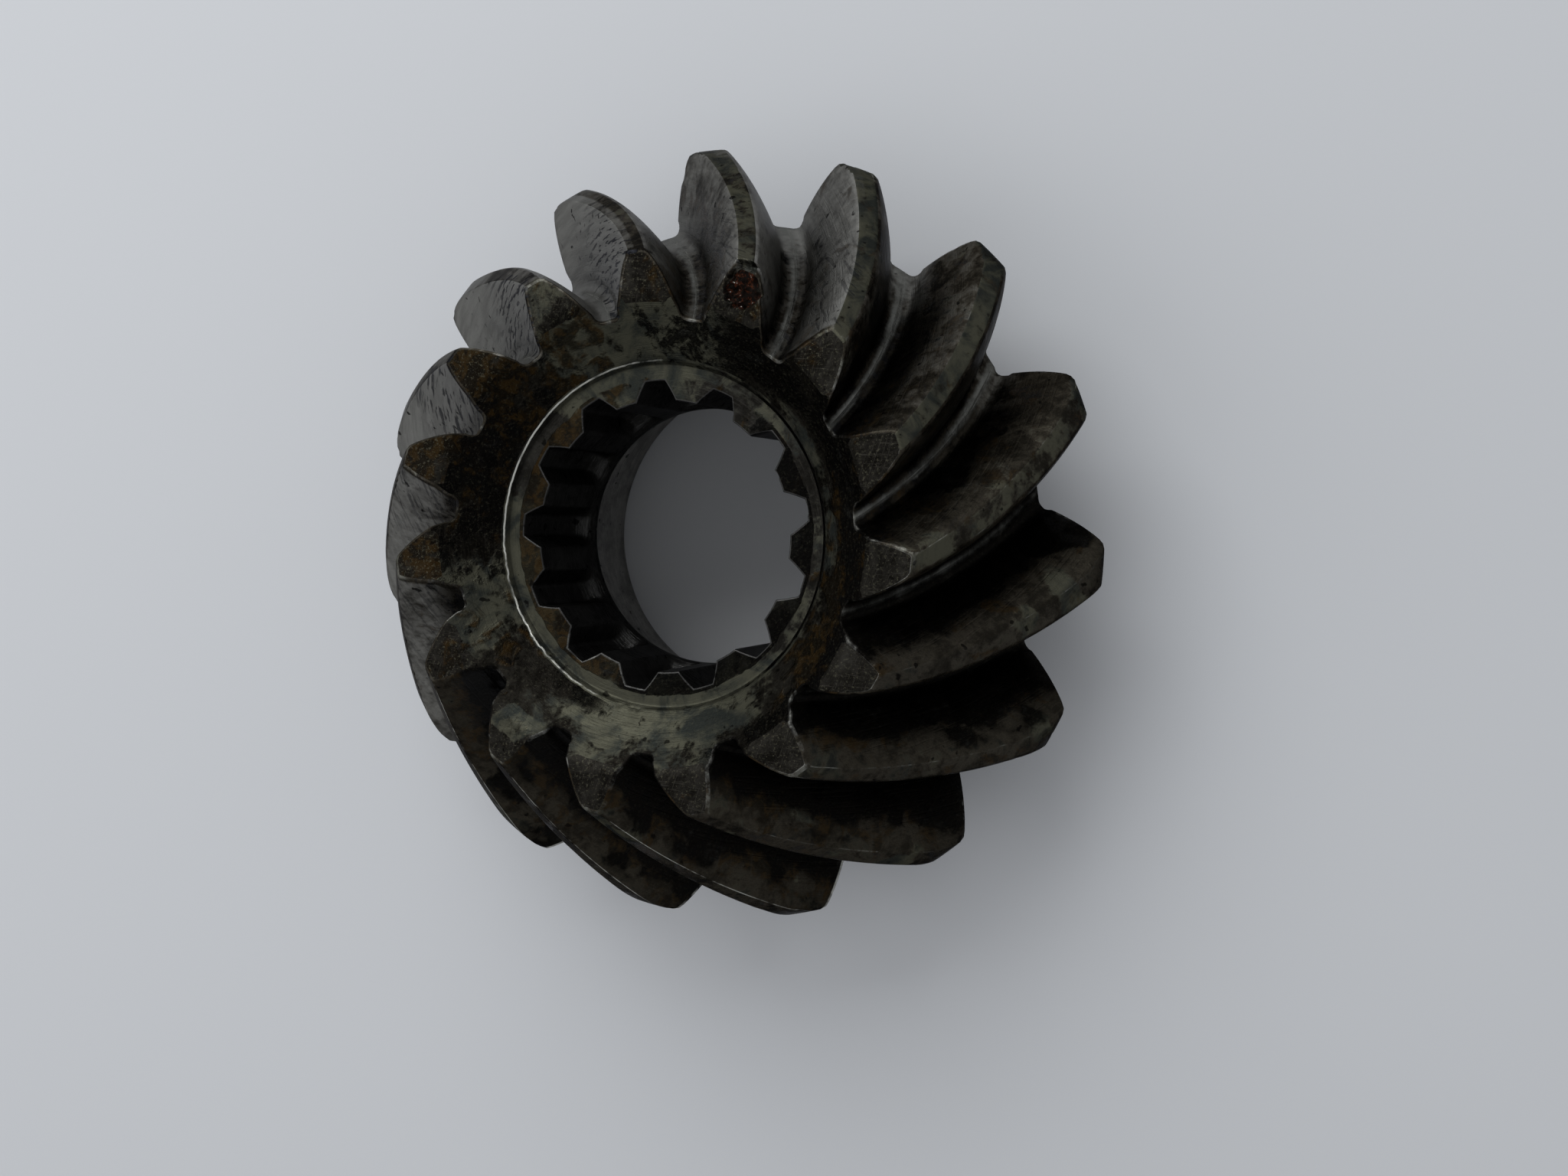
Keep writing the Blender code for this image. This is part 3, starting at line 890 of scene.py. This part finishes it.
# ---- mesh ----
def add_corner_attribute(mesh, name, values):
    kind, key = ("FLOAT_VECTOR", "vector") if values.ndim > 1 else ("FLOAT", "value")
    attribute = mesh.attributes.new(name, kind, "CORNER")
    attribute.data.foreach_set(key, values.astype(np.float32).ravel())


def pit_depth(points):
    """Depth of the rust pit in the toe face of the rusted tooth, in millimetres."""
    radius, azimuth, half_length, half_width = PIT
    radial, sideways = beside(points, radius, azimuth)
    ragged = 0.75 * (cloud(points, *PIT_OUTLINE) - 0.5) + 0.35 * (cloud(points, *PIT_FRAY) - 0.5)
    distance = np.hypot(radial / half_length, sideways / half_width) + ragged
    uneven = 0.55 + 0.9 * cloud(points, *PIT_FLOOR)
    near_face = smooth(points[:, 2], TOE_FACE_HEIGHT - 1.6, TOE_FACE_HEIGHT - 0.8)
    return PIT_DEPTH * smooth(distance, 1.0, 0.72) * uneven * near_face


def finer_round_pit(mesh):
    """Divides the faces round the rust pit."""
    centre = at_radius(PIT[0], radians(PIT[1]), TOE_FACE_HEIGHT) * MM
    reach = PIT_REACH * MM
    form = bmesh.new()
    form.from_mesh(mesh)
    near = [e for e in form.edges if all(np.linalg.norm(np.array(v.co) - centre) < reach for v in e.verts)]
    bmesh.ops.subdivide_edges(form, edges=near, cuts=PIT_CUTS, use_grid_fill=True)
    form.to_mesh(mesh)
    form.free()


def vector_array(collection, name, width=3):
    """One property of every item, as an array with this many columns."""
    values = np.empty(len(collection) * width, np.float32)
    collection.foreach_get(name, values)
    return values.reshape(-1, width).astype(float)


def wear_mesh(mesh):
    """Moves the points for nicked edges, the front's forged unevenness and the rust pit."""
    points = vector_array(mesh.vertices, "co") / MM
    normals = vector_array(mesh.vertex_normals, "vector")
    corner = np.empty(len(mesh.loops), np.int32)
    mesh.loops.foreach_get("vertex_index", corner)
    worn = np.zeros(len(points))
    np.maximum.at(worn, corner, vector_array(mesh.attributes["edge"].data, "value", 1)[:, 0])
    outside_rim = smooth(polar(points)[0], NOSE_RADIUS + 0.3, NOSE_RADIUS + 1.0)
    above_rim = smooth(points[:, 2], NOSE_RIM_HEIGHT - 0.2, NOSE_RIM_HEIGHT + 0.4)
    on_front = above_rim * outside_rim * smooth(normals[:, 2], 0.7, 0.9)
    nick = smooth(cloud(points, *NICKS), *NICK_RANGE) * smooth(worn, 0.5, 1.0)
    uneven = (cloud(points, *UNEVEN_FRONT) - 0.5) * on_front
    points = points - normals * (NICK_DEPTH * nick + UNEVEN_DEPTH * (0.5 + uneven) * on_front)[:, None]
    points[:, 2] -= pit_depth(points)
    mesh.vertices.foreach_set("co", (points * MM).astype(np.float32).ravel())


def pinion_mesh():
    """The worn mesh, in metres, with the numbers that its materials read."""
    surface = pinion_surface()
    faces, numbers, zones = surface.face_lists()
    points = np.concatenate(surface.points) * (PLAN_SHRINK, PLAN_SHRINK, 1.0)
    mesh = bpy.data.meshes.new("pinion_forging")
    mesh.from_pydata((points * MM).tolist(), [], faces)
    mesh.polygons.foreach_set("use_smooth", [True] * len(faces))
    mesh.polygons.foreach_set("material_index", zones)
    corner_zones = np.repeat(zones, [len(face) for face in faces])
    place = points[np.concatenate(faces)]
    add_corner_attribute(mesh, "flow", numbers[:, :3])
    for name, mask in stain_and_highlight_masks(place, numbers, corner_zones).items():
        add_corner_attribute(mesh, name, mask)
    finer_round_pit(mesh)
    wear_mesh(mesh)
    mesh.update()
    return mesh


# ---- materials ----
class Graph:
    """Short calls for building a material's nodes."""

    def __init__(self, name):
        self.material = bpy.data.materials.new(name)
        self.material.use_nodes = True
        self.tree = self.material.node_tree
        self.shader = self.tree.nodes["Principled BSDF"]

    def node(self, kind, inputs, output=0, **settings):
        """Makes a node, feeds its inputs by name or number, and returns one of its outputs."""
        made = self.tree.nodes.new("ShaderNode" + kind)
        for name, setting in settings.items():
            setattr(made, name, setting)
        for socket, given in inputs.items():
            self.feed(made.inputs[socket], given)
        return made.outputs[output]

    def feed(self, socket, given):
        if isinstance(given, bpy.types.NodeSocket):
            self.tree.links.new(given, socket)
        else:
            socket.default_value = given

    def give(self, name, given):
        """Sets or links one of the shader's own sockets."""
        self.feed(self.shader.inputs[name], given)

    def attribute(self, name, output="Fac"):
        return self.node("Attribute", {}, output, attribute_name=name)

    def maths(self, operation, first, second=0.0):
        return self.node("Math", {0: first, 1: second}, operation=operation)

    def times(self, first, second):
        return self.maths("MULTIPLY", first, second)

    def vector(self, operation, first, second):
        return self.node("VectorMath", {0: first, 1: second}, operation=operation)

    def step(self, value, low, high, to_low=0.0, to_high=1.0):
        """0 to 1, or to_low to to_high, eased as the value goes from low to high."""
        inputs = dict(enumerate((value, low, high, to_low, to_high)))
        return self.node("MapRange", inputs, interpolation_type="SMOOTHSTEP")

    def mix(self, share, first, second):
        """A colour between two colours."""
        return self.node("Mix", {0: share, 6: first, 7: second}, 2, data_type="RGBA")

    def layer(self, color, over, *shares):
        """The colour with another over it, by the product of two shares."""
        return self.mix(self.times(*shares), color, over)

    def blend(self, share, first, second):
        """A number between two numbers."""
        return self.node("Mix", {0: share, 2: first, 3: second})

    def noise(self, vector, scale, detail, roughness, distortion=0.0):
        inputs = dict(Vector=vector, Scale=scale, Detail=detail, Roughness=roughness, Distortion=distortion)
        return self.node("TexNoise", inputs)

    def sum_of(self, *weighted):
        """The sum of (value, weight) pairs."""
        total = None
        for value, weight in weighted:
            part = self.times(value, weight)
            total = part if total is None else self.maths("ADD", total, part)
        return total


# Noise over the steel: cells per millimetre, detail, roughness and distortion
BLOTCH = (0.34, 7.0, 0.6, 0.6)
MOTTLE = (1.4, 5.0, 0.6, 0.4)
GRAIN = (7.0, 3.0, 0.6)
TURNED = (1.0, 3.0, 0.6)
FORGED = (4.0, 4.0, 0.65)
VARNISH_EDGE = (0.45, 6.0, 0.55, 0.6)
BROWNS = (0.8, 5.0, 0.6, 0.8)
FILM = (0.3, 6.0, 0.6, 0.8)
# Spots of painted glint
PAINTED_GLINT_SPOTS = (4.5, 4.0, 0.75)
PITS = (1.1, 2.0, 0.5)
CRUST = (2.6, 4.0, 0.7)

# Marks along one direction: its turn, their length and width, and the noise where they start and are full
GROUND = (radians(4.0), 5.0, 0.22, 0.5, 0.72)
FILED = (radians(50.0), 2.2, 0.1, 0.58, 0.7)
CROSS_FILED = (radians(-25.0), 1.8, 0.09, 0.6, 0.72)
SCORED_ALONG = (radians(16.0), 2.2, 0.32, 0.555, 0.595)
SATIN = (radians(10.0), 5.0, 0.6, 0.3, 0.7)
FLOOR_LINES = (0.0, 9.0, 0.09, 0.38, 0.62)
MARK_DEPTH = 4.0
TURNING_PITCH = 7.0  # lathe marks per millimetre, times the noise's own cell
TURNING_ARC = 6.0


def covered(graph, name, breakup, strength, softness):
    """The cover of a stain or of painted light: its mask with the border broken up by noise."""
    uneven = graph.sum_of((graph.attribute(name), 1.0), (graph.maths("SUBTRACT", breakup, 0.5), strength))
    return graph.step(uneven, 0.5 - softness, 0.5 + softness)


def streaks(graph, vector, turn, length, width, low, high):
    """Thin marks along one direction, 0 to 1; sizes in millimetres."""
    inputs = {"Vector": vector, "Rotation": (0.0, 0.0, turn), "Scale": (length, width, MARK_DEPTH)}
    stretched = graph.node("Mapping", inputs, vector_type="TEXTURE")
    return graph.step(graph.noise(stretched, 1.0, 2.0, 0.6), low, high)


def turned_vector(graph, place):
    """Coordinates for marks that a lathe leaves: fine across the radius, long around the axis."""
    flat = graph.vector("MULTIPLY", place, (1.0, 1.0, 0.0))
    around_axis = graph.vector("NORMALIZE", flat, (0.0, 0.0, 0.0))
    radius = graph.node("VectorMath", {0: flat}, "Value", operation="LENGTH")
    height = graph.node("SeparateXYZ", {0: place}, 2)
    lines = graph.sum_of((radius, TURNING_PITCH), (height, TURNING_PITCH))
    across = graph.node("CombineXYZ", {2: lines})
    return graph.vector("ADD", graph.vector("MULTIPLY", around_axis, (TURNING_ARC, TURNING_ARC, 0.0)), across)


def tool_marks(graph, kind, place, flow):
    """Marks of grinding along the teeth, of turning, or of crossed filing."""
    if kind == "flow":
        return streaks(graph, flow, *GROUND)
    if kind == "turned":
        return graph.step(graph.noise(turned_vector(graph, place), *TURNED), 0.5, 0.75)
    return graph.maths("MAXIMUM", streaks(graph, place, *FILED), streaks(graph, place, *CROSS_FILED))


def grey(value, warm):
    """A colour from grey to brown as warm grows above 1."""
    return (value * warm ** 0.5, value, value / warm, 1.0)


# Polished satin, light and dark streaks: partly real polish, partly painted sheen
POLISH_AND_SHEEN = (0.3, 0.293, 0.27, 1.0)
POLISH_AND_SHEEN_DARK = (0.225, 0.22, 0.203, 1.0)
PALE = (0.079, 0.077, 0.055, 1.0)
PALE_SHADE = (0.025, 0.028, 0.025, 1.0)
AMBER = (0.025, 0.014, 0.0035, 1.0)
UMBER = (0.006, 0.004, 0.0015, 1.0)
OIL = (0.0022, 0.002, 0.0018, 1.0)
# Bare metal and painted highlights on the edges, and the painted glints in the rust
BARE_AND_HIGHLIGHT = (0.8, 0.79, 0.72, 1.0)
# Painted glints: a light colour that stands in for sparkling reflections
PAINTED_GLINT = (0.085, 0.08, 0.055, 1.0)
# Painted reflection along the gap floors
GAP_FLOOR_SHEEN_COLOR = (0.19, 0.19, 0.172, 1.0)
RUST = (0.048, 0.013, 0.005, 1.0)
RUST_DARK = (0.005, 0.003, 0.002, 1.0)
EDGE_TINT = (0.32, 0.32, 0.33, 1.0)  # steel under a film reflects less at a glancing angle than clean steel
SCORE = (0.016, 0.017, 0.021, 1.0)

BUMP_STRENGTH = 0.6
BUMP_DISTANCE = 0.00008
METALLIC = 0.93
GLANCING_SPECULAR = 0.2

# Each zone's glint amount sets how much painted glint it gets
COMMON = dict(
    roughness=0.46, marks="turned", marked=0.22, varnished=0.85, oiled=0.93, forged=1.6, soft=0.12, glinting=0.14
)
TOOTHED = dict(COMMON, marks="flow", marked=0.08, varnished=0.7, forged=0.5, soft=0.24, glinting=0.08)
LOOKS = {
    FLANK: dict(TOOTHED, name="flank", dark=grey(0.015, 1.32), light=grey(0.043, 1.34), roughness=0.4),
    CREST: dict(TOOTHED, name="crest", dark=grey(0.014, 1.28), light=grey(0.052, 1.28)),
    TOE_FACE: dict(
        COMMON, name="toe_face", dark=grey(0.006, 1.25), light=grey(0.021, 1.2),
        marks="crossed", marked=0.5, forged=2.4, glinting=0.62,
    ),
    DISH: dict(
        COMMON, name="dish", dark=grey(0.004, 1.3), light=grey(0.019, 1.25),
        roughness=0.48, forged=2.6, glinting=0.22,
    ),
    NOSE: dict(COMMON, name="nose", dark=grey(0.01, 1.2), light=grey(0.03, 1.15)),
    BORE: dict(
        COMMON, name="bore", dark=grey(0.26, 1.05), light=grey(0.44, 1.05),
        roughness=0.42, oiled=0.88, forged=0.3, glinting=0.0,
    ),
    BACK: dict(COMMON, name="back", dark=grey(0.024, 1.15), light=grey(0.06, 1.1), roughness=0.42),
}


def steel(look):
    """Steel with its stains, painted sheen, painted glints and painted highlights laid over it one by one."""
    graph = Graph(look["name"] + "_steel")
    mix, layer, step, noise, blend = graph.mix, graph.layer, graph.step, graph.noise, graph.blend
    texture = graph.node("TexCoord", {}, "Object")
    place = graph.vector("MULTIPLY", texture, (1 / MM, 1 / MM, 1 / MM))
    flow = graph.attribute("flow", "Vector")
    blotch, mottle, grain = (noise(place, *pattern) for pattern in (BLOTCH, MOTTLE, GRAIN))
    breakup = graph.sum_of((blotch, 0.65), (mottle, 0.35))
    # Polished satin: partly real polish, partly painted sheen
    polish_and_sheen = covered(graph, "polish_and_sheen", breakup, 1.2, 0.3)
    pale = covered(graph, "pale", breakup, 2.4, 0.14)
    varnish = covered(graph, "varnish", noise(place, *VARNISH_EDGE), 2.2, 0.14)
    oil = covered(graph, "oil", breakup, 2.6, look["soft"])
    # A painted reflection along the gap floors
    floor = covered(graph, "floor", breakup, 1.4, 0.42)
    rust = covered(graph, "rust", mottle, 1.6, 0.1)
    # Bare metal on worn edges, with painted highlights on the lit edges and on the nut seat's rim
    worn = graph.times(covered(graph, "bare_and_highlight", breakup, 2.2, 0.25), graph.attribute("bare_and_highlight"))
    bare_and_highlight = graph.times(step(graph.attribute("edge"), 0.8, 0.98), worn)
    score = graph.times(graph.attribute("score"), streaks(graph, flow, *SCORED_ALONG))

    marks = tool_marks(graph, look["marks"], place, flow)
    tone = graph.sum_of((blotch, 0.5), (mottle, 0.35), (grain, 0.15))
    bright = tuple(min(1.0, 2.2 * c) for c in look["light"][:3]) + (1.0,)
    satin = mix(streaks(graph, flow, *SATIN), POLISH_AND_SHEEN_DARK, POLISH_AND_SHEEN)
    film = mix(step(noise(place, *FILM), 0.38, 0.58), PALE_SHADE, PALE)
    brown = mix(step(noise(place, *BROWNS), 0.44, 0.56), UMBER, AMBER)
    # Painted glints: light spots that stand in for sparkling reflections
    painted_glints = step(noise(place, *PAINTED_GLINT_SPOTS), 0.54, 0.66)
    pits = step(noise(place, *PITS), 0.32, 0.27)
    lines = graph.sum_of((streaks(graph, flow, *FLOOR_LINES), 0.6), (mottle, 0.45))
    crust = noise(place, *CRUST)
    scale = mix(step(crust, 0.49, 0.6), RUST_DARK, RUST)
    # Painted glints of bare colour in the rust
    scale = mix(step(crust, 0.64, 0.68), scale, BARE_AND_HIGHLIGHT)

    color = mix(step(tone, 0.4, 0.6), look["dark"], look["light"])
    color = layer(color, bright, marks, look["marked"])
    # Polished satin with painted sheen
    color = layer(color, satin, polish_and_sheen, 0.92)
    color = layer(color, film, pale, 0.85)
    color = layer(color, brown, varnish, look["varnished"])
    color = layer(color, OIL, oil, look["oiled"])
    # Painted glints laid over the colour
    color = layer(color, PAINTED_GLINT, painted_glints, look["glinting"])
    color = layer(color, OIL, pits, 0.8)
    # A painted reflection along the gap floors, broken by machining lines
    color = layer(color, GAP_FLOOR_SHEEN_COLOR, floor, lines)
    color = layer(color, SCORE, score, 0.85)
    # Bare metal and painted highlights on the edges
    color = mix(graph.node("Clamp", {0: bare_and_highlight}), color, BARE_AND_HIGHLIGHT)
    graph.give("Base Color", mix(rust, color, scale))

    metal = blend(graph.times(varnish, 0.25), METALLIC, 0.0)
    graph.give("Metallic", blend(rust, metal, 0.0))
    wet = graph.maths("MAXIMUM", oil, varnish)
    rough = step(tone, 0.38, 0.62, look["roughness"] - 0.06, look["roughness"] + 0.1)
    rough = blend(polish_and_sheen, rough, 0.34)
    rough = blend(wet, rough, 0.33)
    graph.give("Roughness", blend(rust, rough, 0.9))
    forged = (graph.times(noise(place, *FORGED), wet), look["forged"])
    height = graph.sum_of((grain, 0.3), (mottle, 0.7), (marks, -0.3), (score, -0.6), (pale, 0.2), forged)
    relief = {"Height": height, "Strength": BUMP_STRENGTH, "Distance": BUMP_DISTANCE}
    graph.give("Normal", graph.node("Bump", relief))
    graph.give("Specular IOR Level", GLANCING_SPECULAR)
    graph.give("Specular Tint", EDGE_TINT)
    return graph.material


def plain_material(name, color, roughness):
    graph = Graph(name)
    graph.give("Base Color", color)
    graph.give("Roughness", roughness)
    return graph.material


# ---- scene ----
FLOOR_HALF_SIZE = 1.5
FLOOR_COLOR = (0.63, 0.635, 0.65, 1.0)
FLOOR_ROUGHNESS = 0.9
SKY_COLOR = (0.93, 0.96, 1.0, 1.0)
SKY_STRENGTH = 0.48
LIGHT_TARGET = (0.0, 0.0, 0.01)
# Azimuth, elevation, distance, width and height, power and colour
WINDOWS = {
    "window": (84.0, 40.0, 0.45, (0.4, 0.3), 1.15, (0.95, 0.98, 1.0)),
    "side_window": (170.0, 40.0, 0.4, (0.3, 0.3), 0.24, (0.97, 0.98, 1.0)),
}
CAMERA_PLACE = (-14.5, 70.0, 0.1396)  # azimuth, elevation and distance from its target
CAMERA_TARGET = (0.0042, -0.0061, 0.0118)
CAMERA_ROLL = -95.2
CAMERA_LENS = 38.7
CAMERA_SENSOR = 36.0
CAMERA_CLIP_START = 0.005


def add_object(name, data):
    made = bpy.data.objects.new(name, data)
    bpy.context.scene.collection.objects.link(made)
    return made


def add_pinion():
    mesh = pinion_mesh()
    for zone in sorted(LOOKS):
        mesh.materials.append(steel(LOOKS[zone]))
    pinion = add_object("pinion_forging", mesh)
    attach(pinion, "root")
    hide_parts(NODE)


def add_floor():
    size = FLOOR_HALF_SIZE
    mesh = bpy.data.meshes.new("floor")
    mesh.from_pydata([(-size, -size, 0), (size, -size, 0), (size, size, 0), (-size, size, 0)], [], [(0, 1, 2, 3)])
    mesh.materials.append(plain_material("pale_floor", FLOOR_COLOR, FLOOR_ROUGHNESS))
    add_object("floor", mesh)


def aimed(place, target, roll=0.0):
    """A matrix at place whose -Z looks at target, turned about its own line of sight."""
    turn = (Vector(target) - Vector(place)).to_track_quat("-Z", "Y").to_matrix().to_4x4()
    return Matrix.Translation(place) @ turn @ Matrix.Rotation(roll, 4, "Z")


def around(azimuth, elevation, distance):
    """A place seen from the pinion at this azimuth and elevation in degrees."""
    a = radians(azimuth)
    e = radians(elevation)
    return Vector((distance * cos(e) * cos(a), distance * cos(e) * sin(a), distance * sin(e)))


def add_light(name, azimuth, elevation, distance, size, power, color):
    """A soft rectangular light that faces the pinion."""
    light = bpy.data.lights.new(name, "AREA")
    light.shape = "RECTANGLE"
    light.size, light.size_y = size
    light.energy = power
    light.color = color
    lamp = add_object(name, light)
    lamp.matrix_world = aimed(around(azimuth, elevation, distance), LIGHT_TARGET)


def add_lights():
    for name, settings in WINDOWS.items():
        add_light(name, *settings)
    world = bpy.data.worlds.new("studio")
    world.use_nodes = True
    background = world.node_tree.nodes["Background"]
    background.inputs["Color"].default_value = SKY_COLOR
    background.inputs["Strength"].default_value = SKY_STRENGTH
    bpy.context.scene.world = world


def add_camera():
    camera = bpy.data.cameras.new("camera")
    camera.lens = CAMERA_LENS
    camera.sensor_width = CAMERA_SENSOR
    camera.clip_start = CAMERA_CLIP_START
    made = add_object("camera", camera)
    place = Vector(CAMERA_TARGET) + around(*CAMERA_PLACE)
    made.matrix_world = aimed(place, CAMERA_TARGET, radians(CAMERA_ROLL))
    bpy.context.scene.camera = made


add_pinion()
add_floor()
add_lights()
add_camera()
bpy.context.scene.view_settings.view_transform = "Standard"
